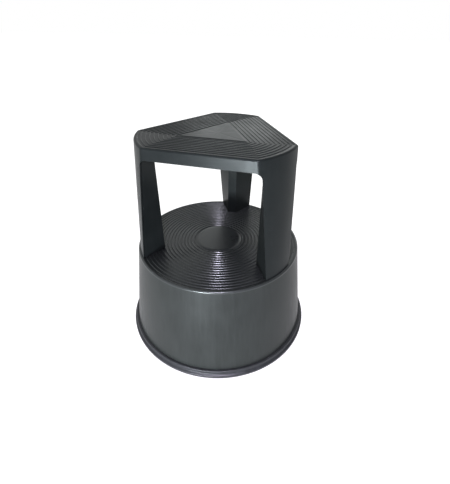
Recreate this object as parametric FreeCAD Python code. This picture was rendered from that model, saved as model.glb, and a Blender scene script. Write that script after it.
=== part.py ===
import FreeCAD, Part
import math
import os

# Kick step stool: a ribbed triangular top step on three flared hollow legs, screwed to a
# round ribbed lower tread on a conical wall, with a bumper ring round its base and three
# sprung, swivelling castors inside it. Weight on the stool presses the castors up until
# the bumper ring stands on the floor.
#
# Millimetres. +Z is up. The origin is on the floor below the stool's centre with the
# castors extended. One leg points along +Y; the three-fold pattern repeats every 120 deg.

Vector = FreeCAD.Vector

# Overall
HEIGHT = 430.0              # floor to the top step's surface
RING_BOTTOM = 5.0           # air below the bumper ring while the castors carry the stool
TREAD_Z = 207.5             # lower step's surface
LEG_ANGLES = (90.0, 210.0, 330.0)
CASTOR_ANGLES = (30.0, 150.0, 270.0)

# Top step and legs
TOP_SIDE = 110.0            # centre to each straight side
TOP_R = 143.9               # radius of the arc corners at the top
FOOT_R = 163.0              # radius of the legs' outer face at the lower tread
CORNER_R = 8.0              # rounding between a straight side and an arc corner
EDGE_R = 3.0                # rounding of the top edge
SKIRT_BOTTOM = 409.5        # lower edge of the skirt, top of each window
WINDOW_R = 12.0             # rounding of a window's upper corners
PLATE_T = 4.0               # top plate
WALL = 3.0                  # skirt and leg walls
LEG_BACK_R = 114.7          # distance of a leg's flat inner face
LEG_BACK_T = 9.4            # half width of that face
LEG_TOP_T = 43.5            # half width of a leg's outer face below the skirt
LEG_FOOT_T = 34.2           # half width of a leg's outer face at its foot
LEG_FAR = 210.0             # where the leg's side planes are carried out to
JAMB_LINE_TOP = 4.0         # shadow line on a leg's side, in from the outer edge, at the top
JAMB_LINE_FOOT = 1.5        # the same at the foot
JAMB_LINE_W = 1.4
JAMB_LINE_D = 1.0
TOP_GROOVES = 10            # nested grooves between the top step's ribs
TOP_GROOVE_FIRST = 102.4    # centre to the outermost groove, along a side's normal
TOP_PITCH = 7.35
GROOVE_W = 3.2              # groove width at the surface
GROOVE_FLOOR = 1.2          # groove width at its floor
GROOVE_D = 1.3

# Stiffening ribs below the top plate
TRAY_RIB_T = 2.2
TRAY_RIB_D = 11.0
TRAY_HUB_R = 9.0
TRAY_RING_R = 58.0

# Leg fixings
LEG_SCREW_RS = (128.5, 147.0)
LEG_SCREW_R = 2.2
LEG_SCREW_HEAD_R = 4.8
LEG_SCREW_HEAD_H = 3.2
LEG_SCREW_END = 227.5
LEG_BOSS_R = 5.6
LEG_BOSS_TOP = 236.0
LEG_WEB_T = 2.6

# Lower step
RIM_R = 167.0               # outer edge of the lower tread
RIM_EDGE_R = 3.5
WALL_R_AT_RING = 193.0      # outer wall where it meets the bumper ring
RING_TOP = 21.5
DRUM_BOTTOM = 9.0
DRUM_WALL = 3.2
TREAD_T = 4.5
TREAD_GROOVES = 17
TREAD_GROOVE_FIRST = 47.8   # radius of the innermost groove
TREAD_PITCH = 7.01
FOOT_PAD = 1.4              # plain margin left round each leg's foot
DRUM_RIBS = 12
DRUM_RIB_T = 2.4
DRUM_RIB_D = 20.0
DRUM_HUB_R = 24.0
DRUM_RIB_GAP = 0.3          # air between the wall and the ribs and towers inside it

# Bumper ring
RING_INNER_R = 186.0
RING_SHOULDER_R = 198.6
RING_OUTER_R = 203.0
RING_GAP = 0.15             # fitting gap between the ring and the drum's wall
RING_LIP_TOP = 16.0

# Castor unit, about its own swivel axis
CASTOR_R = 145.0            # stool's centre to each swivel axis
CASTOR_REST_TURN = 118.0    # way each castor trails at rest, from the outward direction
TOWER_R = 16.0
TOWER_BORE_R = 12.0
TOWER_BOTTOM = 63.0
TOWER_SEAT = 150.0          # where the spring's upper end bears
TOWER_LID = 3.5
TOWER_FLANGE_R = 27.0       # flange welded to the tread's underside
TOWER_FLANGE_T = 3.5
TOWER_RIB_T = 2.6
TOWER_RIB_H = 24.0
BUSH_FLANGE_T = 3.0
BUSH_TOP = 84.0
BUSH_BORE_R = 9.5
BUSH_EAR = 21.0
BUSH_EAR_R = 5.0
RUNNING_GAP = 0.05          # radial clearance of every running fit
PLUNGER_BOTTOM = 48.3
PLUNGER_TOP = 92.3
STEM_R = 5.0
STEM_HEAD_R = 8.0
STEM_TOP = 98.0
CLIP_R = 8.0
CLIP_GROOVE_R = 4.2
SPRING_R = 10.0
SPRING_WIRE_R = 0.9
SPRING_TURNS = 9
FORK_TOP = 48.0
FORK_CROWN = 4.5
FORK_INNER = 8.7
FORK_EAR_T = 3.0
TRAIL = 15.0
WHEEL_R = 19.0
WHEEL_HALF_W = 8.0
WHEEL_EDGE_R = 2.5
HUB_HALF_W = 8.4
AXLE_R = 3.0
AXLE_HEAD_R = 4.8
AXLE_HEAD_T = 1.4
SOCKET_SCREW_R = 1.5
SOCKET_SCREW_HEAD_R = 2.9
SOCKET_SCREW_HEAD_T = 1.9
SOCKET_SCREW_END = 76.0


# Helpers

def cylinder(radius, z0, z1, x=0.0, y=0.0):
    return Part.makeCylinder(radius, z1 - z0, Vector(x, y, z0))


def cone(r0, r1, z0, z1):
    return Part.makeCone(r0, r1, z1 - z0, Vector(0, 0, z0))


def tube(r_in, r_out, z0, z1):
    return cylinder(r_out, z0, z1).cut(cylinder(r_in, z0 - 1, z1 + 1))


def box(x0, x1, y0, y1, z0, z1):
    return Part.makeBox(x1 - x0, y1 - y0, z1 - z0, Vector(x0, y0, z0))


def turned(shape, angle):
    copy = shape.copy()
    copy.rotate(Vector(0, 0, 0), Vector(0, 0, 1), angle)
    return copy


def thrice(shape, angles):
    """The shape, drawn pointing along +X, at each of three angles."""
    return [turned(shape, angle) for angle in angles]


def polygon(points, z):
    corners = [Vector(x, y, z) for x, y in points]
    return Part.makePolygon(corners + [corners[0]])


def prism(points, z0, z1):
    return Part.Face(polygon(points, z0)).extrude(Vector(0, 0, z1 - z0))


def between(points0, z0, points1, z1):
    """A solid with straight sides running from one outline to another."""
    return Part.makeLoft([polygon(points0, z0), polygon(points1, z1)], True, True)


def spun(profile):
    """A solid of revolution about Z from (radius, height) points."""
    corners = [Vector(r, 0, z) for r, z in profile]
    face = Part.Face(Part.makePolygon(corners + [corners[0]]))
    return face.revolve(Vector(0, 0, 0), Vector(0, 0, 1), 360)


def inset(points, distance):
    """A convex outline, listed anticlockwise, moved inwards by a distance."""
    lines = []
    for (x0, y0), (x1, y1) in zip(points, points[1:] + points[:1]):
        length = math.hypot(x1 - x0, y1 - y0)
        nx = -(y1 - y0) / length
        ny = (x1 - x0) / length
        lines.append((nx, ny, nx * x0 + ny * y0 + distance))
    moved = []
    for (a0, b0, c0), (a1, b1, c1) in zip(lines[-1:] + lines[:-1], lines):
        det = a0 * b1 - a1 * b0
        moved.append(((c0 * b1 - c1 * b0) / det, (a0 * c1 - a1 * c0) / det))
    return moved


def fused(shapes):
    first = shapes[0]
    if len(shapes) == 1:
        return first
    return first.fuse(shapes[1:]).removeSplitter()


# Top step and legs

def leg_radius(z):
    """Radius of the cone that the skirt's corners and the legs' outer faces lie on."""
    return TOP_R + (FOOT_R - TOP_R) * (HEIGHT - z) / (HEIGHT - TREAD_Z)


def leg_outline(z):
    """A leg's outline at a height, anticlockwise, with the leg pointing along +X."""
    share = (SKIRT_BOTTOM - z) / (SKIRT_BOTTOM - TREAD_Z)
    edge_t = LEG_TOP_T + (LEG_FOOT_T - LEG_TOP_T) * share
    edge_r = math.sqrt(leg_radius(z) ** 2 - edge_t ** 2)
    far_t = LEG_BACK_T + (edge_t - LEG_BACK_T) * (LEG_FAR - LEG_BACK_R) / (edge_r - LEG_BACK_R)
    return [
        (LEG_BACK_R, -LEG_BACK_T),
        (LEG_FAR, -far_t),
        (LEG_FAR, far_t),
        (LEG_BACK_R, LEG_BACK_T),
    ]


def to_window(r, t):
    """A point beside a leg, as (outwards, sideways) from the middle of the next window."""
    return (0.5 * r + math.sqrt(0.75) * t, math.sqrt(0.75) * r - 0.5 * t)


def window_outline(z, reach):
    """A window's outline at a height, anticlockwise, with the window facing +X."""
    back, far = leg_outline(z)[3], leg_outline(z)[2]
    n0, u0 = to_window(*back)
    n1, u1 = to_window(*far)
    u2 = u0 + (u1 - u0) * (reach - n0) / (n1 - n0)
    return [(n0, -u0), (reach, -u2), (reach, u2), (n0, u0)]


def triangle(side):
    """An equilateral outline with its corners at the legs' angles."""
    return [
        (2 * side * math.cos(math.radians(a)), 2 * side * math.sin(math.radians(a)))
        for a in LEG_ANGLES
    ]


def step_outline(offset, z):
    """The top step's outline moved inwards: three straight sides and three arcs."""
    side = TOP_SIDE - offset
    radius = TOP_R - offset
    half = math.degrees(math.acos(side / radius))
    edges = []
    for angle in CASTOR_ANGLES:
        a0 = math.radians(angle - half)
        a1 = math.radians(angle + half)
        a2 = math.radians(angle + 120 - half)
        mid = math.radians(angle + 60)
        p0 = Vector(radius * math.cos(a0), radius * math.sin(a0), z)
        p1 = Vector(radius * math.cos(a1), radius * math.sin(a1), z)
        p2 = Vector(radius * math.cos(a2), radius * math.sin(a2), z)
        pm = Vector(radius * math.cos(mid), radius * math.sin(mid), z)
        edges.append(Part.LineSegment(p0, p1).toShape())
        edges.append(Part.Arc(p1, pm, p2).toShape())
    return Part.Wire(edges)


def step_slice(top_offset, floor_offset):
    """A plug of the step's outline whose sides slope across a groove's depth."""
    floor = step_outline(floor_offset, HEIGHT - GROOVE_D)
    top = step_outline(top_offset, HEIGHT)
    lid = step_outline(top_offset, HEIGHT + 1)
    plug = Part.makeLoft([floor, top], True, True)
    return plug.fuse(Part.makeLoft([top, lid], True, True))


def top_groove(index):
    middle = TOP_SIDE - TOP_GROOVE_FIRST + TOP_PITCH * index
    outer = step_slice(middle - GROOVE_W / 2, middle - GROOVE_FLOOR / 2)
    inner = step_slice(middle + GROOVE_W / 2, middle + GROOVE_FLOOR / 2)
    return outer.cut(inner)


def outer_body():
    """The cone cut by the three straight sides, with its corners rounded."""
    body = cone(FOOT_R, TOP_R, TREAD_Z, HEIGHT).common(prism(triangle(TOP_SIDE), 0, HEIGHT + 9))
    uprights = []
    rim = []
    for edge in body.Edges:
        bounds = edge.BoundBox
        if bounds.ZLength > 50:
            uprights.append(edge)
    body = body.makeFillet(CORNER_R, uprights)
    for edge in body.Edges:
        if edge.BoundBox.ZMin > HEIGHT - 0.01:
            rim.append(edge)
    return body.makeFillet(EDGE_R, rim)


def window_tunnel(grow):
    """One window's flared tunnel below the skirt, its sides moved outwards by a distance."""
    low = TREAD_Z - 1
    reach = 230.0
    foot = inset(window_outline(low, reach), -grow)
    head = inset(window_outline(SKIRT_BOTTOM, reach), -grow)
    return between(foot, low, head, SKIRT_BOTTOM)


def window_cut():
    """A window whose upper corners are rounded through the thickness of the outer wall."""
    tunnel = window_tunnel(0.0)
    long_edges = []
    for edge in tunnel.Edges:
        bounds = edge.BoundBox
        if bounds.ZMin > SKIRT_BOTTOM - 0.01 and bounds.XLength > 20:
            long_edges.append(edge)
    rounded = tunnel.makeFillet(WINDOW_R, long_edges)
    low = TREAD_Z - 1
    depth = WALL + 1
    within = cone(leg_radius(low) - depth, leg_radius(SKIRT_BOTTOM) - depth, low, SKIRT_BOTTOM)
    inside = tunnel.common(within).common(box(0, TOP_SIDE - depth, -300, 300, low, HEIGHT))
    return rounded.fuse(inside)


def centre_outline():
    """The hexagon between the inner faces of the three legs."""
    points = []
    for angle in LEG_ANGLES:
        c = math.cos(math.radians(angle))
        s = math.sin(math.radians(angle))
        for t in (-LEG_BACK_T, LEG_BACK_T):
            points.append((LEG_BACK_R * c - t * s, LEG_BACK_R * s + t * c))
    return points


def tray_cut():
    """The hollow under the top plate, inside the skirt and between the legs."""
    z0 = SKIRT_BOTTOM - 1
    z1 = HEIGHT - PLATE_T
    bay = prism(window_outline(SKIRT_BOTTOM, TOP_SIDE - WALL), z0, z1)
    hollow = fused([prism(centre_outline(), z0, z1)] + thrice(bay, CASTOR_ANGLES))
    within = cone(leg_radius(z0) - WALL, leg_radius(z1) - WALL, z0, z1)
    return hollow.common(within)


def leg_cavities():
    """The hollows inside the three legs, open at their feet."""
    low = TREAD_Z - 1
    high = HEIGHT - PLATE_T
    skin = cone(leg_radius(low) - WALL, leg_radius(high) - WALL, low, high)
    space = skin.common(prism(triangle(TOP_SIDE - WALL), low, high))
    head = prism(inset(window_outline(SKIRT_BOTTOM, 230.0), -WALL), SKIRT_BOTTOM, high)
    walls = thrice(window_tunnel(WALL), CASTOR_ANGLES) + thrice(head, CASTOR_ANGLES)
    walls.append(prism(inset(centre_outline(), -WALL), low, high))
    return space.cut(walls)


def jamb_line(side):
    """The shadow line down one side of a leg, just in from its outer edge."""
    outlines = []
    for z, back in ((TREAD_Z - 1, JAMB_LINE_FOOT), (SKIRT_BOTTOM, JAMB_LINE_TOP)):
        (x0, y0), (x1, y1) = leg_outline(z)[3], leg_outline(z)[2]
        share = (SKIRT_BOTTOM - z) / (SKIRT_BOTTOM - TREAD_Z)
        edge_t = LEG_TOP_T + (LEG_FOOT_T - LEG_TOP_T) * share
        length = math.hypot(x1 - x0, y1 - y0)
        dx = (x1 - x0) / length
        dy = (y1 - y0) / length
        along = (edge_t - y0) / dy - back
        points = []
        for step, depth in ((-JAMB_LINE_W, 1.0), (-JAMB_LINE_W, -JAMB_LINE_D), (0, -JAMB_LINE_D), (0, 1.0)):
            px = x0 + dx * (along + step) - dy * depth
            py = y0 + dy * (along + step) + dx * depth
            points.append((px, side * py))
        outlines.append((points, z))
    (low, z0), (high, z1) = outlines
    return between(low, z0, high, z1)


def leg_bosses():
    """Two screw bosses at a leg's foot on a web that ties its inner and outer walls."""
    web_start = LEG_BACK_R + WALL / 2
    web_end = leg_radius(LEG_BOSS_TOP) - WALL / 2
    web = box(web_start, web_end, -LEG_WEB_T / 2, LEG_WEB_T / 2, TREAD_Z, LEG_BOSS_TOP)
    bosses = [cylinder(LEG_BOSS_R, TREAD_Z, LEG_BOSS_TOP, r) for r in LEG_SCREW_RS]
    holes = [
        cylinder(LEG_SCREW_R + RUNNING_GAP, TREAD_Z - 1, LEG_SCREW_END + 2, r)
        for r in LEG_SCREW_RS
    ]
    return fused([web] + bosses).cut(holes)


def tray_ribs():
    z0 = HEIGHT - PLATE_T - TRAY_RIB_D
    z1 = HEIGHT - PLATE_T + 0.5
    half = TRAY_RIB_T / 2
    to_leg = box(0, LEG_BACK_R + 1, -half, half, z0, z1)
    to_side = box(0, TOP_SIDE - 1, -half, half, z0, z1)
    hub = cylinder(TRAY_HUB_R, z0, z1)
    ring = tube(TRAY_RING_R - half, TRAY_RING_R + half, z0, z1)
    ribs = fused(thrice(to_leg, LEG_ANGLES) + thrice(to_side, CASTOR_ANGLES) + [hub, ring])
    return ribs.cut(cylinder(TRAY_HUB_R - TRAY_RIB_T, z0 - 1, HEIGHT - PLATE_T))


def upper_step():
    body = outer_body()
    cuts = thrice(window_cut(), CASTOR_ANGLES)
    cuts.append(prism(centre_outline(), TREAD_Z - 1, SKIRT_BOTTOM))
    cuts.append(tray_cut())
    cuts.append(leg_cavities())
    body = body.cut(cuts)
    body = body.cut(thrice(jamb_line(1), LEG_ANGLES) + thrice(jamb_line(-1), LEG_ANGLES))
    body = fused([body, tray_ribs()] + thrice(leg_bosses(), LEG_ANGLES))
    return body.cut([top_groove(i) for i in range(TOP_GROOVES)])


# Lower step

def drum_radius(z):
    """Radius of the lower step's outer wall."""
    return RIM_R + (WALL_R_AT_RING - RIM_R) * (TREAD_Z - z) / (TREAD_Z - RING_TOP)


def foot_pad(z0, z1):
    """The patch of tread that a leg stands on, a little larger than its foot."""
    outline = inset(leg_outline(TREAD_Z), -FOOT_PAD)
    return prism(outline, z0, z1).common(cylinder(FOOT_R + FOOT_PAD, z0, z1))


def tread_grooves():
    """Concentric grooves between the lower tread's ribs, stopped short of the legs' feet."""
    rings = []
    for i in range(TREAD_GROOVES):
        r = TREAD_GROOVE_FIRST + TREAD_PITCH * i
        rings.append(spun([
            (r - GROOVE_FLOOR / 2, TREAD_Z - GROOVE_D),
            (r + GROOVE_FLOOR / 2, TREAD_Z - GROOVE_D),
            (r + GROOVE_W / 2, TREAD_Z),
            (r + GROOVE_W / 2, TREAD_Z + 1),
            (r - GROOVE_W / 2, TREAD_Z + 1),
            (r - GROOVE_W / 2, TREAD_Z),
        ]))
    pads = thrice(foot_pad(TREAD_Z - 5, TREAD_Z + 5), LEG_ANGLES)
    return [ring.cut(pads) for ring in rings]


def drum_room(z0, z1):
    """The space inside the wall, a little clear of it."""
    inset_by = DRUM_WALL + DRUM_RIB_GAP
    return cone(drum_radius(z0) - inset_by, drum_radius(z1) - inset_by, z0, z1)


def tread_disc():
    """The lower tread's disc with its rounded rim."""
    under = TREAD_Z - TREAD_T
    disc = cone(drum_radius(under), RIM_R, under, TREAD_Z)
    rim = [e for e in disc.Edges if e.BoundBox.ZMin > TREAD_Z - 0.01 and e.BoundBox.XLength > RIM_R]
    return disc.makeFillet(RIM_EDGE_R, rim)


def tread_ribs():
    """Radial ribs and a hub below the lower tread, clear of the wall."""
    z1 = TREAD_Z - TREAD_T + 0.5
    z0 = z1 - DRUM_RIB_D
    half = DRUM_RIB_T / 2
    rib = box(DRUM_HUB_R - half, 200, -half, half, z0, z1)
    step = 360.0 / DRUM_RIBS
    ribs = [turned(rib, step * (i + 0.5)) for i in range(DRUM_RIBS)]
    hub = tube(DRUM_HUB_R - DRUM_RIB_T, DRUM_HUB_R, z0, z1)
    return fused(ribs + [hub]).common(drum_room(z0, z1))


def lower_tread():
    tread = fused([tread_disc(), tread_ribs()]).cut(tread_grooves())
    holes = [
        cylinder(LEG_SCREW_R + 0.5, TREAD_Z - TREAD_T - 1, TREAD_Z + 1, r)
        for r in LEG_SCREW_RS
    ]
    for angle in LEG_ANGLES:
        tread = tread.cut([turned(hole, angle) for hole in holes])
    return tread


def drum_wall():
    """The conical wall that carries the tread."""
    top = TREAD_Z - TREAD_T
    return spun([
        (drum_radius(top) - DRUM_WALL, top),
        (drum_radius(DRUM_BOTTOM) - DRUM_WALL, DRUM_BOTTOM),
        (drum_radius(DRUM_BOTTOM), DRUM_BOTTOM),
        (drum_radius(top), top),
    ])


# Castor towers

def castor_tower():
    """A bored column with a floor for the spring, a ribbed flange on top and two screw bosses."""
    top = TREAD_Z - TREAD_T
    half = TOWER_RIB_T / 2
    column = cylinder(TOWER_R, TOWER_BOTTOM, top)
    flange = cylinder(TOWER_FLANGE_R, top - TOWER_FLANGE_T, top)
    slope = Part.makeCone(TOWER_R, TOWER_FLANGE_R, TOWER_RIB_H, Vector(0, 0, top - TOWER_RIB_H))
    across = box(-TOWER_FLANGE_R, TOWER_FLANGE_R, -half, half, top - TOWER_RIB_H, top)
    parts = [column, flange]
    parts += [turned(across, angle).common(slope) for angle in (45.0, 135.0)]
    for side in (-1, 1):
        y = side * BUSH_EAR
        parts.append(cylinder(BUSH_EAR_R, TOWER_BOTTOM, TOWER_BOTTOM + 34, 0, y))
        y0, y1 = sorted((side * (TOWER_BORE_R + 1), y))
        parts.append(box(-2.5, 2.5, y0, y1, TOWER_BOTTOM, TOWER_BOTTOM + 34))
    body = fused(parts)
    cuts = [
        cylinder(TOWER_BORE_R, TOWER_BOTTOM - 1, TOWER_SEAT),
        cylinder(TOWER_BORE_R, TOWER_SEAT + TOWER_LID, top + 1),
    ]
    for side in (-1, 1):
        hole = SOCKET_SCREW_R + RUNNING_GAP
        cuts.append(cylinder(hole, TOWER_BOTTOM - 1, SOCKET_SCREW_END + 2, 0, side * BUSH_EAR))
    room = drum_room(TOWER_BOTTOM, top)
    room.translate(Vector(-CASTOR_R, 0, 0))
    return body.cut(cuts).common(room)


# Bumper ring

def base_ring():
    z0 = RING_BOTTOM
    outer = spun([
        (RING_INNER_R, z0),
        (RING_OUTER_R - 1.6, z0),
        (RING_OUTER_R, z0 + 1.6),
        (RING_OUTER_R, z0 + 5.4),
        (RING_OUTER_R - 0.9, z0 + 7.0),
        (RING_OUTER_R - 2.6, z0 + 8.6),
        (RING_SHOULDER_R + 0.6, z0 + 11.0),
        (RING_SHOULDER_R, z0 + 14.6),
        (RING_SHOULDER_R - 1.7, RING_TOP),
        (drum_radius(RING_TOP) + RING_GAP, RING_TOP),
        (drum_radius(DRUM_BOTTOM) + RING_GAP, DRUM_BOTTOM),
        (drum_radius(DRUM_BOTTOM) - DRUM_WALL - RING_GAP, DRUM_BOTTOM),
        (drum_radius(RING_LIP_TOP) - DRUM_WALL - RING_GAP, RING_LIP_TOP),
        (RING_INNER_R, RING_LIP_TOP),
    ])
    return outer


# Fixings

def pan_screw(radius, head_radius, head_bottom, head_top, end, key):
    """A pan-head screw pointing up, with a hexagon socket in its head."""
    head = cylinder(head_radius, head_bottom, head_top)
    edges = [e for e in head.Edges if e.BoundBox.ZMax < head_bottom + 0.01]
    head = head.makeFillet((head_top - head_bottom) * 0.45, edges)
    shank = cylinder(radius, head_top - 0.5, end - radius)
    tip = Part.makeCone(radius, radius * 0.4, radius, Vector(0, 0, end - radius))
    sides = [(key * math.cos(math.radians(60 * i)), key * math.sin(math.radians(60 * i))) for i in range(6)]
    socket = prism(sides, head_bottom - 1, head_bottom + (head_top - head_bottom) * 0.6)
    return fused([head, shank, tip]).cut(socket)


def leg_screws():
    head_top = TREAD_Z - TREAD_T
    head_bottom = head_top - LEG_SCREW_HEAD_H
    screw = pan_screw(LEG_SCREW_R, LEG_SCREW_HEAD_R, head_bottom, head_top, LEG_SCREW_END, 2.2)
    screws = []
    for r in LEG_SCREW_RS:
        placed = screw.copy()
        placed.translate(Vector(r, 0, 0))
        screws += thrice(placed, LEG_ANGLES)
    return Part.makeCompound(screws)


def socket_screws():
    head_top = TOWER_BOTTOM - BUSH_FLANGE_T
    head_bottom = head_top - SOCKET_SCREW_HEAD_T
    screw = pan_screw(SOCKET_SCREW_R, SOCKET_SCREW_HEAD_R, head_bottom, head_top, SOCKET_SCREW_END, 1.4)
    screws = []
    for side in (-1, 1):
        placed = screw.copy()
        placed.translate(Vector(CASTOR_R, side * BUSH_EAR, 0))
        screws += thrice(placed, CASTOR_ANGLES)
    return Part.makeCompound(screws)


# Castor unit, drawn about its own swivel axis

def guide_bush():
    """A flanged bush in the tower's mouth that guides the plunger and stops its collar."""
    flange_bottom = TOWER_BOTTOM - BUSH_FLANGE_T
    sleeve = cylinder(TOWER_BORE_R - RUNNING_GAP, flange_bottom, BUSH_TOP)
    flange = cylinder(TOWER_R, flange_bottom, TOWER_BOTTOM)
    bar = box(-BUSH_EAR_R, BUSH_EAR_R, -BUSH_EAR, BUSH_EAR, flange_bottom, TOWER_BOTTOM)
    ears = [cylinder(BUSH_EAR_R, flange_bottom, TOWER_BOTTOM, 0, s * BUSH_EAR) for s in (-1, 1)]
    body = fused([sleeve, flange, bar] + ears)
    holes = [cylinder(SOCKET_SCREW_R + 0.3, 0, 100, 0, s * BUSH_EAR) for s in (-1, 1)]
    return body.cut([cylinder(BUSH_BORE_R, 0, 100)] + holes)


def plunger():
    """A sliding sleeve with a collar that rests on the bush."""
    shaft = cylinder(BUSH_BORE_R - RUNNING_GAP, PLUNGER_BOTTOM, BUSH_TOP + 1)
    collar = cylinder(TOWER_BORE_R - RUNNING_GAP, BUSH_TOP, PLUNGER_TOP)
    bore = cylinder(STEM_R + RUNNING_GAP, 0, 200)
    return fused([shaft, collar]).cut(bore)


def spring():
    """A round-wire compression spring between the plunger's collar and the tower's seat."""
    z0 = PLUNGER_TOP + SPRING_WIRE_R
    height = TOWER_SEAT - SPRING_WIRE_R - z0
    path = Part.makeHelix(height / SPRING_TURNS, height, SPRING_R)
    start = path.Edges[0].valueAt(path.Edges[0].FirstParameter)
    along = path.Edges[0].tangentAt(path.Edges[0].FirstParameter)
    ring = Part.Wire(Part.Circle(start, along, SPRING_WIRE_R).toShape())
    coil = Part.Wire(path).makePipeShell([ring], True, True)
    coil.translate(Vector(0, 0, z0))
    return coil


def stem():
    """The swivel stem: a headed pin through the fork's crown, grooved near its end."""
    head_top = FORK_TOP - FORK_CROWN
    head = cylinder(STEM_HEAD_R, head_top - 2.3, head_top)
    shank = cylinder(STEM_R, head_top - 1, STEM_TOP - 0.8)
    tip = Part.makeCone(STEM_R, STEM_R - 0.8, 0.8, Vector(0, 0, STEM_TOP - 0.8))
    groove = tube(CLIP_GROOVE_R, STEM_R + 1, PLUNGER_TOP + 0.2, PLUNGER_TOP + 1.4)
    return fused([head, shank, tip]).cut(groove)


def stem_clip():
    """An open spring clip in the stem's groove."""
    z0 = PLUNGER_TOP + 0.3
    z1 = PLUNGER_TOP + 1.3
    ring = tube(CLIP_GROOVE_R + RUNNING_GAP, CLIP_R, z0, z1)
    return ring.cut(box(0, 20, -2.8, 2.8, z0 - 1, z1 + 1))


def fork():
    """A castor fork: two ears under a flat crown, trailing behind the swivel axis."""
    outer = FORK_INNER + FORK_EAR_T
    ear = 8.0
    points = [
        Vector(TRAIL - ear, 0, WHEEL_R),
        Vector(-11.5, 0, FORK_TOP - FORK_CROWN - 1),
        Vector(-11.5, 0, FORK_TOP),
        Vector(10, 0, FORK_TOP),
        Vector(TRAIL + ear, 0, WHEEL_R),
    ]
    edges = [Part.LineSegment(a, b).toShape() for a, b in zip(points, points[1:])]
    edges.append(Part.Arc(points[-1], Vector(TRAIL, 0, WHEEL_R - ear), points[0]).toShape())
    profile = Part.Face(Part.Wire(edges))
    profile.translate(Vector(0, -outer, 0))
    body = profile.extrude(Vector(0, 2 * outer, 0))
    slot = box(-40, 60, -FORK_INNER, FORK_INNER, 0, FORK_TOP - FORK_CROWN)
    body = body.cut(slot)
    corners = []
    for edge in body.Edges:
        bounds = edge.BoundBox
        if bounds.XMax < -11.4 and bounds.ZLength > 1 and abs(bounds.YMin) > outer - 0.01:
            corners.append(edge)
    body = body.makeFillet(4.0, corners)
    axle_hole = Part.makeCylinder(AXLE_R + RUNNING_GAP, 60, Vector(TRAIL, -30, WHEEL_R), Vector(0, 1, 0))
    return body.cut([cylinder(STEM_R + RUNNING_GAP, 0, 100), axle_hole])


def spun_about_axle(profile):
    """A solid of revolution about the castor's axle from (radius, sideways) points."""
    corners = [Vector(TRAIL + r, y, WHEEL_R) for r, y in profile]
    face = Part.Face(Part.makePolygon(corners + [corners[0]]))
    return face.revolve(Vector(TRAIL, 0, WHEEL_R), Vector(0, 1, 0), 360)


def wheel():
    """A one-piece castor wheel with a dished web and a bored hub."""
    w = WHEEL_HALF_W
    e = WHEEL_EDGE_R
    bore = AXLE_R + RUNNING_GAP
    half = [
        (bore, HUB_HALF_W),
        (6.5, HUB_HALF_W),
        (7.0, w - 2.4),
        (13.5, w - 2.4),
        (14.2, w),
        (WHEEL_R - e, w),
        (WHEEL_R - e * 0.3, w - e * 0.3),
        (WHEEL_R, w - e),
    ]
    return spun_about_axle(half + [(r, -y) for r, y in reversed(half)])


def axle():
    """A riveted axle pin across the fork's ears."""
    outer = FORK_INNER + FORK_EAR_T
    y = Vector(0, 1, 0)
    pin = Part.makeCylinder(AXLE_R, 2 * outer, Vector(TRAIL, -outer, WHEEL_R), y)
    heads = [
        Part.makeCylinder(AXLE_HEAD_R, AXLE_HEAD_T, Vector(TRAIL, -outer - AXLE_HEAD_T, WHEEL_R), y),
        Part.makeCylinder(AXLE_HEAD_R, AXLE_HEAD_T, Vector(TRAIL, outer, WHEEL_R), y),
    ]
    return fused([pin] + heads)


def placed_unit(shape, turn, angle):
    """A castor piece turned about its swivel axis, then set at its place in the stool."""
    piece = turned(shape, turn)
    piece.translate(Vector(CASTOR_R, 0, 0))
    return turned(piece, angle)


def castor_nodes():
    fixed = {
        "castor_tower": castor_tower(),
        "guide_bush": guide_bush(),
        "castor_plunger": plunger(),
        "castor_spring": spring(),
    }
    swivelling = {
        "castor_stem": stem(),
        "stem_clip": stem_clip(),
        "castor_fork": fork(),
        "castor_axle": axle(),
        "castor_wheel": wheel(),
    }
    nodes = {}
    for number, angle in enumerate(CASTOR_ANGLES, start=1):
        for name, shape in fixed.items():
            nodes[f"{name}_{number}"] = placed_unit(shape, 0, angle)
        for name, shape in swivelling.items():
            nodes[f"{name}_{number}"] = placed_unit(shape, CASTOR_REST_TURN, angle)
    return nodes


def main():
    os.makedirs("parts", exist_ok=True)
    nodes = {
        "upper_step": upper_step(),
        "lower_tread": lower_tread(),
        "drum_wall": drum_wall(),
        "base_ring": base_ring(),
        "leg_screws": leg_screws(),
        "socket_screws": socket_screws(),
    }
    nodes.update(castor_nodes())
    for name, shape in nodes.items():
        solids = shape.Solids
        volume = sum(solid.Volume for solid in solids)
        print(name, "solids", len(solids), "valid", shape.isValid(), "cm3", round(volume / 1000, 2))
        shape.exportStep(f"parts/{name}.step")


main()
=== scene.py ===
import math

import bmesh
import bpy
from mathutils import Matrix, Vector


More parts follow.
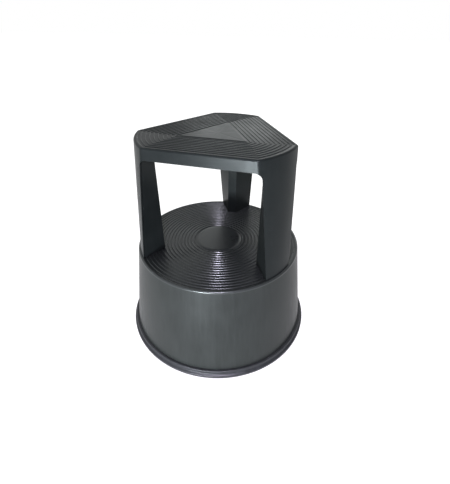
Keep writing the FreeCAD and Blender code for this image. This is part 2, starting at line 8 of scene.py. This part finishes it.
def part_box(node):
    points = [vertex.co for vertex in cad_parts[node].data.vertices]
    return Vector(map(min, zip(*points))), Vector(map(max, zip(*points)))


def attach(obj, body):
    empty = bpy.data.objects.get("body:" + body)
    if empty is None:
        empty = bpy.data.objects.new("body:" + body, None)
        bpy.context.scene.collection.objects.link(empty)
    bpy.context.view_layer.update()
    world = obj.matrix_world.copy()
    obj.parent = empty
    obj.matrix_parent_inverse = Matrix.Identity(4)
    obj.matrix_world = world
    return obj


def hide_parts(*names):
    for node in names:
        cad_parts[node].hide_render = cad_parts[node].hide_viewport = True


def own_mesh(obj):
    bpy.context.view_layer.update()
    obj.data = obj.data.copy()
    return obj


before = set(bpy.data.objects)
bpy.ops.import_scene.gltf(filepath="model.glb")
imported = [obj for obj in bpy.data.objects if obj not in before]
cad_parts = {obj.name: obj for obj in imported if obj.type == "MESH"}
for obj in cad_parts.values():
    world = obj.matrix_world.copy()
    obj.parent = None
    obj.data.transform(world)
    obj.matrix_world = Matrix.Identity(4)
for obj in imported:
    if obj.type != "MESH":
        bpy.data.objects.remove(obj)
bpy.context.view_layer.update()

# Kick step stool. Metres, in the CAD frame: +Z up, origin on the floor, one leg towards +Y.

MM = 0.001

# Sizes that the frame gives
STEP_LOW, STEP_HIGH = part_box("upper_step")
WALL_LOW, WALL_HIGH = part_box("drum_wall")
RING_LOW, RING_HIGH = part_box("base_ring")
TOP_Z = STEP_HIGH.z
TREAD_Z = STEP_LOW.z
RING_R = RING_HIGH.y

# Top step
TOP_SIDE = 110.0 * MM          # centre to each straight side
TOP_R = 143.9 * MM             # radius of the arc corners
CORNER_R = 8.0 * MM            # rounding between a side and an arc
EDGE_R = 3.0 * MM              # rounding of the top edge
TIP_GAP = 1.6 * MM             # the arcs stay at least this far short of the sides' meeting points
TIP_R = 1.2 * MM               # least rounding between a side and an arc
TOP_PITCH = 7.35 * MM          # distance from rib to rib
TOP_VALLEYS = 10
TOP_FIRST_VALLEY = 7.6 * MM    # in from the outline
TOP_SKIN_DEPTH = 1.35 * MM     # CAD faces less deep than this give way to the ribbed surface
TOP_SKIN_MARGIN = 0.05 * MM    # and reach this far outside the ribbed surface at most
WINDOW_ANGLES = (270.0, 30.0, 150.0)
SIDE_STEPS, CORNER_STEPS, ARC_STEPS = 30, 4, 22
CENTRE_RINGS = 14              # across the top's smooth centre

# Faint sink lines in the top's smooth centre
SINK_ANGLES = range(30, 390, 60)
SINK_DEPTH = 0.10 * MM
SINK_HALF_W = 1.6 * MM
SINK_FADE_R = 6 * MM           # they fade out inside this radius

# Ribs of both steps
BEAD_HALF_W = 1.6 * MM         # half width of a rib at its foot
BEAD_EASE = 0.35 * MM          # rounding of a rib's edges
BEAD_STEPS = 4                 # along each rounding
TOP_BEAD = (0.65 * MM, 42.0)   # height of a top rib and slope of its flanks, in degrees
TREAD_BEAD = (1.3 * MM, 58.0)  # the same for the lower tread
LIP_OUT = 0.7 * MM             # a lip's reach into the smooth surface beside a band of ribs
LIP_DROP = 0.3 * MM            # depth of its middle
LIP_IN = 0.5 * MM              # its reach into the band's last valley

# Lower step
RIM_R = 167.0 * MM             # where the cone of the wall reaches the tread's height
RIM_EDGE_R = 3.5 * MM          # rounding of the tread's edge
RING_TOP = RING_HIGH.z
WALL_R_AT_RING = 193.0 * MM    # outside of the wall at the ring's top
TREAD_VALLEYS = 17
TREAD_FIRST_VALLEY = 47.8 * MM  # out from the centre
TREAD_PITCH = 7.01 * MM
TREAD_SKIN_DEPTH = 1.4 * MM    # CAD faces less deep than this give way to the ribbed surface
RIM_DEPTH = 4.5 * MM           # height of the tread's rim, down to the wall
RIM_MARGIN = 0.01 * MM
RIM_STEPS = 8
WALL_T = 3.2 * MM              # thickness of the wall
WALL_STEPS = 24
DISC_STEPS = 12                # across the smooth centre of the tread
TURNED_STEPS = 300             # round the tread and the wall

# Bumper ring
RING_INNER_R = 186.0 * MM
RING_FOOT_R = 1.0 * MM         # rounding of the inner edges
RING_NOSE_R = 2.2 * MM         # rounding of the outer edges
RING_NOSE_Z = 5.0 * MM         # height of the nose's upper rounding above the underside
RING_NECK_R = 3.0 * MM         # hollow rounding between the nose and the upright band
RING_NECK_Z = 10.6 * MM        # height of its centre above the underside
RING_NECK_OUT = 3.2 * MM       # distance of its centre out from the upright band
RING_LIP_R = 1.9 * MM          # rounding of the upright band's top
RING_SHOULDER = 4.4 * MM       # the upright band's distance in from the nose's outside
RING_GAP = 0.2 * MM            # between the ring and the wall
RING_UNDER_WALL = 3.4 * MM     # how far the ring reaches in under the wall's outside
RING_LEDGE_Z = 16 * MM         # top of the ring's inner edge
RING_STEPS = 320

# Castor springs
SPRING_WIRE_R = 0.9 * MM
SPRING_TURNS = 9
SPRING_TURN_STEPS = 40
SPRING_WIRE_SIDES = 10

# Camera
CAMERA_AT = Vector((160.4, -543.4, 596.8)) * MM
CAMERA_LOOK = Vector((-0.2117, 0.7883, -0.5777))
CAMERA_ROLL = -0.47            # degrees
LENS = 23.78                   # mm, on a sensor 36 mm wide

# Surroundings and view
WORLD_BRIGHT = 1.0
WORLD_DIM = 0.45
DIM_SIDE = (0.87, -0.5, 0.0)   # the direction in which the surroundings are dim
FLOOR_HALF = 12.0
VIEW_GAMMA = 0.8
STUDIO_AIM = (0, 0, 0.28)
LIGHTS = (
    # name, place, aim, size, power in watts, colour
    ("overhead", (-0.2, 0.2, 2.4), STUDIO_AIM, (1.6, 1.6), 8, (1.0, 1.0, 1.0)),
    ("back", (-0.45, 1.9, 0.95), (0, 0, 0.43), (0.7, 0.3), 1.6, (0.95, 1.0, 1.0)),
    ("fill", (0.5, 1.9, 0.45), (0, 0, 0.25), (1.4, 0.7), 5, (1.0, 1.0, 1.0)),
    ("low", (-0.05, -1.2, 0.04), (0.07, 0, 0.42), (0.25, 0.1), 22, (0.90, 0.94, 1.0)),
    ("front", (0.23, -0.86, 0.82), STUDIO_AIM, (0.12, 0.12), 12, (0.89, 0.81, 1.0)),
)

# Materials
NOISE_LOW, NOISE_HIGH = 0.3, 0.7    # most values of a noise texture lie between these
PLASTIC_IOR = 1.49
PLASTIC_TINT = (0.95, 1.0, 0.97, 1)

SMOOTH_ANGLE = 30.0
SPRING_SMOOTH_ANGLE = 60.0


# Mesh helpers

def new_object(name, mesh):
    piece = bpy.data.objects.new(name, mesh)
    bpy.context.scene.collection.objects.link(piece)
    return piece


def smooth(mesh, angle=SMOOTH_ANGLE):
    mesh.shade_smooth()
    mesh.set_sharp_from_angle(angle=math.radians(angle))


def grid_faces(rows, columns, close_columns=False):
    """Quads of a grid whose rows follow one another, each row's columns listed in order."""
    faces = []
    last = columns if close_columns else columns - 1
    for i in range(rows - 1):
        here = i * columns
        above = here + columns
        for j in range(last):
            k = (j + 1) % columns
            faces.append((here + j, here + k, above + k, above + j))
    return faces


def lathe_mesh(name, profile, segments, closed=False):
    """A mesh turned about Z from (radius, height) points. A point at radius 0 becomes a pole."""
    verts = []
    faces = []
    rings = []
    for r, z in profile:
        if r < 1e-7:
            rings.append([len(verts)] * segments)
            verts.append((0.0, 0.0, z))
            continue
        rings.append(list(range(len(verts), len(verts) + segments)))
        for j in range(segments):
            a = 2 * math.pi * j / segments
            verts.append((r * math.cos(a), r * math.sin(a), z))
    pairs = list(zip(rings, rings[1:]))
    if closed:
        pairs.append((rings[-1], rings[0]))
    for low, high in pairs:
        for j in range(segments):
            k = (j + 1) % segments
            corners = [low[j], low[k], high[k], high[j]]
            faces.append([c for i, c in enumerate(corners) if c not in corners[:i]])
    mesh = bpy.data.meshes.new(name)
    mesh.from_pydata(verts, [], faces)
    return mesh


def arc(cx, cz, r, a0, a1, count):
    """Points along an arc in the (radius, height) plane, angles in degrees."""
    points = []
    for i in range(count + 1):
        a = math.radians(a0 + (a1 - a0) * i / count)
        points.append((cx + r * math.cos(a), cz + r * math.sin(a)))
    return points


def faces_outwards(mesh):
    bm = bmesh.new()
    bm.from_mesh(mesh)
    bmesh.ops.recalc_face_normals(bm, faces=bm.faces)
    bm.to_mesh(mesh)
    bm.free()


def kept_part(node, drop):
    """A copy of a CAD node's mesh without the faces that drop(middle, normal) is true of."""
    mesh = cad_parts[node].data.copy()
    bm = bmesh.new()
    bm.from_mesh(mesh)
    doomed = [f for f in bm.faces if drop(f.calc_center_median(), f.normal)]
    bmesh.ops.delete(bm, geom=doomed, context="FACES")
    bm.to_mesh(mesh)
    bm.free()
    return mesh


def joined(name, *meshes):
    """One mesh that holds the faces of several."""
    bm = bmesh.new()
    for mesh in meshes:
        bm.from_mesh(mesh)
    result = bpy.data.meshes.new(name)
    bm.to_mesh(result)
    bm.free()
    return result


# Ribs of both steps

def bead_half(height, degrees):
    """Half a rib's profile from its crest: eased edge, straight flank, eased foot.

    Points are (distance across, depth). The foot is rounded half as much as the edge.
    """
    slope = math.radians(degrees)
    run = height / math.tan(slope) + 1.5 * BEAD_EASE * math.tan(slope / 2)
    flat = BEAD_HALF_W - run
    points = [(0.0, 0.0)]
    for i in range(BEAD_STEPS + 1):
        a = slope * i / BEAD_STEPS
        points.append((flat + BEAD_EASE * math.sin(a), BEAD_EASE * (1 - math.cos(a))))
    foot = BEAD_EASE / 2
    for i in range(BEAD_STEPS, -1, -1):
        a = slope * i / BEAD_STEPS
        points.append((BEAD_HALF_W - foot * math.sin(a), height - foot * (1 - math.cos(a))))
    return points


def bead_profile(crests, surface, bead):
    """Ribs at the given distances, flush with the surface, as (distance, height) points."""
    half = bead_half(*bead)
    points = []
    for crest in crests:
        points += [(crest - across, surface - down) for across, down in reversed(half)]
        points += [(crest + across, surface - down) for across, down in half[1:]]
    return points


def band_lip(edge, inwards, surface, valley):
    """The lip at an end of a band of ribs. inwards is 1 or -1, the way from the lip to the ribs."""
    return [
        (edge - inwards * LIP_OUT, surface),
        (edge, surface - LIP_DROP),
        (edge + inwards * LIP_IN, valley),
    ]


# Top step

def step_outline(offset):
    """The top step's outline moved inwards by offset, as (x, y) points."""
    side = TOP_SIDE - offset
    radius = min(TOP_R - offset, 2 * side - TIP_GAP)
    rounding = max(CORNER_R - offset, TIP_R)
    third = 2 * math.pi / 3
    along = math.sqrt((radius - rounding) ** 2 - (side - rounding) ** 2)
    turn = math.atan2(along, side - rounding)
    local = []
    for i in range(SIDE_STEPS):
        local.append((side, -along + 2 * along * i / SIDE_STEPS))
    for i in range(CORNER_STEPS):
        a = turn * i / CORNER_STEPS
        local.append((side - rounding + rounding * math.cos(a), along + rounding * math.sin(a)))
    for i in range(ARC_STEPS):
        a = turn + (third - 2 * turn) * i / ARC_STEPS
        local.append((radius * math.cos(a), radius * math.sin(a)))
    cx = (side - rounding) * math.cos(third) + along * math.sin(third)
    cy = (side - rounding) * math.sin(third) - along * math.cos(third)
    for i in range(CORNER_STEPS):
        a = third - turn + turn * i / CORNER_STEPS
        local.append((cx + rounding * math.cos(a), cy + rounding * math.sin(a)))
    points = []
    for angle in WINDOW_ANGLES:
        c = math.cos(math.radians(angle))
        s = math.sin(math.radians(angle))
        points += [(x * c - y * s, x * s + y * c) for x, y in local]
    return points


def top_profile():
    """The ribbed surface from the rounded edge to the smooth centre, as (inwards, height)."""
    first = TOP_FIRST_VALLEY
    last = first + TOP_PITCH * (TOP_VALLEYS - 1)
    valley = TOP_Z - TOP_BEAD[0]
    crests = [first + TOP_PITCH * (i + 0.5) for i in range(TOP_VALLEYS - 1)]
    points = [(EDGE_R, TOP_Z)]
    points += band_lip(first - BEAD_HALF_W, 1, TOP_Z, valley)
    points += bead_profile(crests, TOP_Z, TOP_BEAD)
    points += reversed(band_lip(last + BEAD_HALF_W, -1, TOP_Z, valley))
    return points


def top_skin():
    """The ribbed surface of the top step, from its rounded edge to the smooth centre."""
    verts = []
    profile = top_profile()
    for offset, z in profile:
        verts += [(x, y, z) for x, y in step_outline(offset)]
    columns = len(verts) // len(profile)
    centre = verts[-columns:]
    for i in range(1, CENTRE_RINGS):
        share = 1 - i / CENTRE_RINGS
        for x, y, z in centre:
            verts.append((x * share, y * share, TOP_Z - centre_sink(x * share, y * share)))
    rows = len(verts) // columns
    faces = grid_faces(rows, columns, close_columns=True)
    verts.append((0, 0, TOP_Z - centre_sink(0, 0)))
    tip = len(verts) - 1
    first = (rows - 1) * columns
    for j in range(columns):
        faces.append((first + j, first + (j + 1) % columns, tip))
    mesh = bpy.data.meshes.new("top_skin")
    mesh.from_pydata(verts, [], faces)
    return mesh


def centre_sink(x, y):
    """Depth of the faint sink lines in the smooth centre, over the ribs below it."""
    r = math.hypot(x, y)
    depth = 0.0
    for angle in SINK_ANGLES:
        a = math.radians(angle)
        across = abs(-x * math.sin(a) + y * math.cos(a))
        if x * math.cos(a) + y * math.sin(a) > 0:
            depth += SINK_DEPTH * math.exp(-((across / SINK_HALF_W) ** 2))
    return depth * min(1.0, r / SINK_FADE_R)


def in_from_outline(co):
    """How far a point lies inside the top step's outline, leaving its small roundings out."""
    distances = [TOP_R - math.hypot(co.x, co.y)]
    for angle in WINDOW_ANGLES:
        a = math.radians(angle)
        distances.append(TOP_SIDE - (co.x * math.cos(a) + co.y * math.sin(a)))
    return min(distances)


def build_top_step():
    def on_top(middle, normal):
        inside = in_from_outline(middle) > EDGE_R - TOP_SKIN_MARGIN
        return middle.z > TOP_Z - TOP_SKIN_DEPTH and inside

    mesh = joined("top_step", kept_part("upper_step", on_top), top_skin())
    smooth(mesh)
    piece = new_object("top_step", mesh)
    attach(piece, "stool")
    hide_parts("upper_step")
    return piece


# Lower step

def wall_radius(z):
    """The outside radius of the conical wall at a height."""
    return RIM_R + (WALL_R_AT_RING - RIM_R) * (TREAD_Z - z) / (TREAD_Z - RING_TOP)


def tread_profile():
    """The lower tread's rounded rim, ribs and smooth centre, as (radius, height) points."""
    low = TREAD_Z - RIM_DEPTH
    side_top = TREAD_Z - RIM_EDGE_R
    lean = math.degrees(math.atan2(WALL_R_AT_RING - RIM_R, TREAD_Z - RING_TOP))
    centre_r = wall_radius(side_top) - RIM_EDGE_R * math.cos(math.radians(lean))
    points = [(wall_radius(low), low)]
    points += arc(centre_r, side_top, RIM_EDGE_R, lean, 90, RIM_STEPS)
    first = TREAD_FIRST_VALLEY
    last = first + TREAD_PITCH * (TREAD_VALLEYS - 1)
    valley = TREAD_Z - TREAD_BEAD[0]
    points += band_lip(last + BEAD_HALF_W, -1, TREAD_Z, valley)
    crests = [first + TREAD_PITCH * (i + 0.5) for i in range(TREAD_VALLEYS - 1)]
    points += reversed(bead_profile(crests, TREAD_Z, TREAD_BEAD))
    points += reversed(band_lip(first - BEAD_HALF_W, 1, TREAD_Z, valley))
    edge = points[-1][0]
    points += [(edge * (1 - i / DISC_STEPS), TREAD_Z) for i in range(1, DISC_STEPS + 1)]
    return points


def build_tread():
    def on_skin(middle, normal):
        faces_down = normal.z < -0.5
        if faces_down or middle.z < TREAD_Z - RIM_DEPTH + RIM_MARGIN:
            return False
        rim_inside = RIM_R - RIM_EDGE_R * 1.1    # a little further in than the rounded edge
        on_rim = math.hypot(middle.x, middle.y) > rim_inside
        return middle.z > TREAD_Z - TREAD_SKIN_DEPTH or on_rim

    skin = lathe_mesh("tread_skin", tread_profile(), TURNED_STEPS)
    mesh = joined("ribbed_tread", kept_part("lower_tread", on_skin), skin)
    smooth(mesh)
    piece = new_object("ribbed_tread", mesh)
    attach(piece, "stool")
    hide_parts("lower_tread")
    return piece


def build_wall():
    """The conical wall under the tread, outside and inside."""
    low = WALL_LOW.z
    high = WALL_HIGH.z
    heights = [low + (high - low) * i / WALL_STEPS for i in range(WALL_STEPS + 1)]
    profile = [(wall_radius(z), z) for z in heights]
    profile += [(wall_radius(z) - WALL_T, z) for z in reversed(heights)]
    mesh = lathe_mesh("conical_wall", profile, TURNED_STEPS, closed=True)
    smooth(mesh)
    piece = new_object("conical_wall", mesh)
    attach(piece, "stool")
    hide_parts("drum_wall")
    return piece


# Bumper ring

def build_ring():
    """The ring round the base: a nose, a hollow neck, an upright band and a ledge inside."""
    z0 = RING_LOW.z
    nose = RING_R - RING_NOSE_R
    band = RING_R - RING_SHOULDER
    under = wall_radius(WALL_LOW.z)
    foot = RING_INNER_R + RING_FOOT_R
    ledge = RING_LEDGE_Z
    profile = arc(foot, z0 + RING_FOOT_R, RING_FOOT_R, 180, 270, 4)
    profile += arc(nose, z0 + RING_NOSE_R, RING_NOSE_R, -90, 0, 6)
    profile += arc(nose, z0 + RING_NOSE_Z, RING_NOSE_R, 0, 62, 6)
    profile += arc(band + RING_NECK_OUT, z0 + RING_NECK_Z, RING_NECK_R, 236, 180, 6)
    profile += arc(band - RING_LIP_R, RING_TOP - RING_LIP_R, RING_LIP_R, 0, 90, 6)
    profile += [(wall_radius(RING_TOP) + RING_GAP, RING_TOP), (under + RING_GAP, WALL_LOW.z)]
    profile.append((under - RING_UNDER_WALL, WALL_LOW.z))
    profile.append((wall_radius(ledge) - RING_UNDER_WALL, ledge))
    profile += arc(foot, ledge - RING_FOOT_R, RING_FOOT_R, 90, 180, 4)
    mesh = lathe_mesh("bumper_ring", profile, RING_STEPS, closed=True)
    faces_outwards(mesh)
    smooth(mesh)
    piece = new_object("bumper_ring", mesh)
    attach(piece, "stool")
    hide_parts("base_ring")
    return piece


# Castor springs

def build_spring(number):
    """A round-wire coil in the place of a castor's spring."""
    low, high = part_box(f"castor_spring_{number}")
    centre = (low + high) / 2
    wire = SPRING_WIRE_R
    coil = (high.x - low.x) / 2 - wire
    steps = SPRING_TURNS * SPRING_TURN_STEPS
    sides = SPRING_WIRE_SIDES
    verts = []
    z0 = low.z + wire
    z1 = high.z - wire
    for i in range(steps + 1):
        a = 2 * math.pi * SPRING_TURNS * i / steps
        out = Vector((math.cos(a), math.sin(a), 0))
        middle = Vector((centre.x, centre.y, z0 + (z1 - z0) * i / steps)) + out * coil
        for j in range(sides):
            b = 2 * math.pi * j / sides
            up = Vector((0, 0, wire * math.sin(b)))
            verts.append(middle + out * wire * math.cos(b) + up)
    faces = grid_faces(steps + 1, sides, close_columns=True)
    faces.append(tuple(range(sides)))
    faces.append(tuple(reversed(range(steps * sides, (steps + 1) * sides))))
    mesh = bpy.data.meshes.new(f"spring_coil_{number}")
    mesh.from_pydata(verts, [], faces)
    faces_outwards(mesh)
    smooth(mesh, SPRING_SMOOTH_ANGLE)
    piece = new_object(f"spring_coil_{number}", mesh)
    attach(piece, "stool")
    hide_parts(f"castor_spring_{number}")
    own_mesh(piece)
    return piece


# Materials

def node_material(name):
    material = bpy.data.materials.new(name)
    material.use_nodes = True
    tree = material.node_tree
    tree.nodes.clear()
    output = tree.nodes.new("ShaderNodeOutputMaterial")
    shader = tree.nodes.new("ShaderNodeBsdfPrincipled")
    tree.links.new(shader.outputs[0], output.inputs[0])
    return material, tree, shader


def noise(tree, vector, scale, detail=3.0, roughness=0.55):
    node = tree.nodes.new("ShaderNodeTexNoise")
    node.inputs["Scale"].default_value = scale
    node.inputs["Detail"].default_value = detail
    node.inputs["Roughness"].default_value = roughness
    tree.links.new(vector, node.inputs["Vector"])
    return node.outputs["Fac"]


def mapped(tree, value, out_low, out_high, low=NOISE_LOW, high=NOISE_HIGH):
    """A value between low and high, moved to between out_low and out_high."""
    node = tree.nodes.new("ShaderNodeMapRange")
    node.inputs["From Min"].default_value = low
    node.inputs["From Max"].default_value = high
    node.inputs["To Min"].default_value = out_low
    node.inputs["To Max"].default_value = out_high
    tree.links.new(value, node.inputs["Value"])
    return node.outputs["Result"]


def stretched(tree, scale):
    """Object coordinates scaled differently along each axis."""
    place = tree.nodes.new("ShaderNodeTexCoord")
    mapping = tree.nodes.new("ShaderNodeMapping")
    mapping.inputs["Scale"].default_value = scale
    tree.links.new(place.outputs["Object"], mapping.inputs["Vector"])
    return mapping.outputs["Vector"]


def tone(tree, factor, dark, light):
    """A colour between dark and light, as a noise texture's value goes from low to high."""
    ramp = tree.nodes.new("ShaderNodeValToRGB")
    ramp.color_ramp.elements[0].position = NOISE_LOW
    ramp.color_ramp.elements[1].position = NOISE_HIGH
    ramp.color_ramp.elements[0].color = (*dark, 1)
    ramp.color_ramp.elements[1].color = (*light, 1)
    tree.links.new(factor, ramp.inputs["Fac"])
    return ramp.outputs["Color"]


def bumped(tree, shader, height, strength, distance):
    bump = tree.nodes.new("ShaderNodeBump")
    bump.inputs["Strength"].default_value = strength
    bump.inputs["Distance"].default_value = distance
    tree.links.new(height, bump.inputs["Height"])
    tree.links.new(bump.outputs["Normal"], shader.inputs["Normal"])


def moulded_plastic(name, dark, light, rough, streak=0.0, grain=1.0, level=0.5):
    """Satin moulded plastic: clouded colour, uneven gloss, a fine grain and flow streaks.

    streak is the streaks' share of the colour's variation and level the strength of reflections.
    """
    material, tree, shader = node_material(name)
    even = stretched(tree, (1, 1, 1))
    long = stretched(tree, (1, 1, 0.04))
    cloud = noise(tree, even, scale=22.0, detail=4.0)
    flow = noise(tree, long, scale=160.0)
    mix = tree.nodes.new("ShaderNodeMix")
    mix.inputs["Factor"].default_value = streak
    tree.links.new(cloud, mix.inputs["A"])
    tree.links.new(flow, mix.inputs["B"])
    blended = mix.outputs["Result"]
    tree.links.new(tone(tree, blended, dark, light), shader.inputs["Base Color"])
    gloss = mapped(tree, blended, rough - 0.05, rough + 0.06)
    tree.links.new(gloss, shader.inputs["Roughness"])
    fine = noise(tree, even, scale=1400.0, detail=2.0)
    bumped(tree, shader, fine, strength=0.03 * grain, distance=0.4 * MM)
    shader.inputs["IOR"].default_value = PLASTIC_IOR
    shader.inputs["Specular IOR Level"].default_value = level
    shader.inputs["Specular Tint"].default_value = PLASTIC_TINT
    return material


def rubber(name, dark, light):
    """Dull rubber: clouded colour, uneven gloss and a fine grain."""
    material, tree, shader = node_material(name)
    even = stretched(tree, (1, 1, 1))
    cloud = noise(tree, even, scale=60.0, detail=4.0)
    tree.links.new(tone(tree, cloud, dark, light), shader.inputs["Base Color"])
    tree.links.new(mapped(tree, cloud, 0.36, 0.5), shader.inputs["Roughness"])
    fine = noise(tree, even, scale=1100.0, detail=2.0)
    bumped(tree, shader, fine, strength=0.2, distance=0.4 * MM)
    return material


def plated_steel(name, dark, light, rough):
    """Plated steel: clouded colour and fine brushing."""
    material, tree, shader = node_material(name)
    even = stretched(tree, (1, 1, 1))
    long = stretched(tree, (1, 1, 0.1))
    cloud = noise(tree, even, scale=90.0, detail=4.0)
    brushed = noise(tree, long, scale=1800.0, detail=2.0)
    tree.links.new(tone(tree, cloud, dark, light), shader.inputs["Base Color"])
    gloss = mapped(tree, brushed, rough - 0.06, rough + 0.1)
    tree.links.new(gloss, shader.inputs["Roughness"])
    bumped(tree, shader, brushed, strength=0.12, distance=0.2 * MM)
    shader.inputs["Metallic"].default_value = 1.0
    return material


def paint(piece, material):
    piece.data.materials.clear()
    piece.data.materials.append(material)


def paint_node(node, material):
    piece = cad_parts[node]
    for slot in piece.material_slots:
        slot.material = material
    if not piece.material_slots:
        piece.data.materials.append(material)


# Studio

def area_light(name, at, aim, size, power, colour):
    light = bpy.data.lights.new(name, "AREA")
    light.shape = "RECTANGLE"
    light.size = size[0]
    light.size_y = size[1]
    light.energy = power
    light.color = colour
    lamp = bpy.data.objects.new(name, light)
    lamp.location = at
    lamp.rotation_euler = (Vector(aim) - Vector(at)).to_track_quat("-Z", "Y").to_euler()
    bpy.context.scene.collection.objects.link(lamp)


def pale_floor():
    """A pale floor that gives off a little light, so that it stays white to its far edge."""
    mesh = bpy.data.meshes.new("studio_floor")
    half = FLOOR_HALF
    corners = [(-half, -half, 0), (half, -half, 0), (half, half, 0), (-half, half, 0)]
    mesh.from_pydata(corners, [], [(0, 1, 2, 3)])
    piece = new_object("studio_floor", mesh)
    material, tree, shader = node_material("pale_floor")
    cloud = noise(tree, stretched(tree, (1, 1, 1)), scale=2.0, detail=2.0)
    colour = tone(tree, cloud, (0.46, 0.46, 0.46), (0.48, 0.48, 0.48))
    tree.links.new(colour, shader.inputs["Base Color"])
    shader.inputs["Roughness"].default_value = 0.9
    shader.inputs["Specular IOR Level"].default_value = 0.0
    shader.inputs["Emission Color"].default_value = (1.0, 1.0, 1.0, 1)
    shader.inputs["Emission Strength"].default_value = 0.66
    mesh.materials.append(material)


def surroundings():
    """White all round the back and the left, dimmer towards the front right."""
    world = bpy.data.worlds.new("studio")
    world.use_nodes = True
    tree = world.node_tree
    place = tree.nodes.new("ShaderNodeTexCoord")
    across = tree.nodes.new("ShaderNodeVectorMath")
    across.operation = "DOT_PRODUCT"
    across.inputs[1].default_value = DIM_SIDE
    tree.links.new(place.outputs["Generated"], across.inputs[0])
    level = mapped(tree, across.outputs["Value"], WORLD_BRIGHT, WORLD_DIM, low=-0.2, high=0.8)
    tree.links.new(level, tree.nodes["Background"].inputs["Strength"])
    tree.nodes["Background"].inputs["Color"].default_value = (1.0, 1.0, 1.0, 1)
    bpy.context.scene.world = world


def studio():
    pale_floor()
    surroundings()
    for light in LIGHTS:
        area_light(*light)


def camera():
    data = bpy.data.cameras.new("camera")
    data.lens = LENS
    data.sensor_width = 36.0
    data.clip_start = 0.01
    data.clip_end = 50
    eye = bpy.data.objects.new("camera", data)
    turn = CAMERA_LOOK.to_track_quat("-Z", "Y").to_matrix()
    roll = Matrix.Rotation(math.radians(-CAMERA_ROLL), 3, "Z")
    eye.matrix_world = Matrix.Translation(CAMERA_AT) @ (turn @ roll).to_4x4()
    bpy.context.scene.collection.objects.link(eye)
    bpy.context.scene.camera = eye


def main():
    # One plastic for the whole stool, in three copies. The top step's copy has a darker base colour
    # as painted shade. The drum's and the tread's copies have lighter base colours as painted
    # light, for how light falls on each part.
    step_plastic = moulded_plastic(
        "step_plastic", (0.0125, 0.0155, 0.0155), (0.018, 0.0215, 0.0212), 0.34,
        streak=0.25, level=0.16)
    drum_plastic = moulded_plastic(
        "drum_plastic", (0.0245, 0.0280, 0.0262), (0.0335, 0.0375, 0.0355), 0.38,
        streak=0.6, level=0.25)
    tread_plastic_lightened = moulded_plastic(
        "tread_plastic_lightened", (0.020, 0.023, 0.023), (0.029, 0.0325, 0.0325), 0.31,
        streak=0.3, grain=0.3, level=0.75)
    ring_rubber = rubber("ring_rubber", (0.020, 0.022, 0.024), (0.030, 0.033, 0.036))
    guide = moulded_plastic("guide_plastic", (0.10, 0.10, 0.10), (0.13, 0.13, 0.13), 0.35)
    wheel = moulded_plastic("wheel_plastic", (0.12, 0.125, 0.13), (0.16, 0.165, 0.17), 0.5)
    bright = plated_steel("bright_steel", (0.52, 0.52, 0.53), (0.66, 0.66, 0.67), 0.3)
    wire = plated_steel("spring_steel", (0.30, 0.30, 0.31), (0.42, 0.42, 0.43), 0.35)

    paint(build_top_step(), step_plastic)
    paint(build_tread(), tread_plastic_lightened)
    paint(build_wall(), drum_plastic)
    paint(build_ring(), ring_rubber)
    paint_node("leg_screws", bright)
    paint_node("socket_screws", bright)
    for number in (1, 2, 3):
        paint(build_spring(number), wire)
        paint_node(f"castor_tower_{number}", drum_plastic)
        paint_node(f"guide_bush_{number}", guide)
        paint_node(f"castor_plunger_{number}", guide)
        paint_node(f"castor_stem_{number}", bright)
        paint_node(f"stem_clip_{number}", wire)
        paint_node(f"castor_fork_{number}", bright)
        paint_node(f"castor_axle_{number}", bright)
        paint_node(f"castor_wheel_{number}", wheel)
    studio()
    camera()
    bpy.context.scene.view_settings.view_transform = "Standard"
    bpy.context.scene.view_settings.gamma = VIEW_GAMMA


main()
bpy.context.view_layer.update()
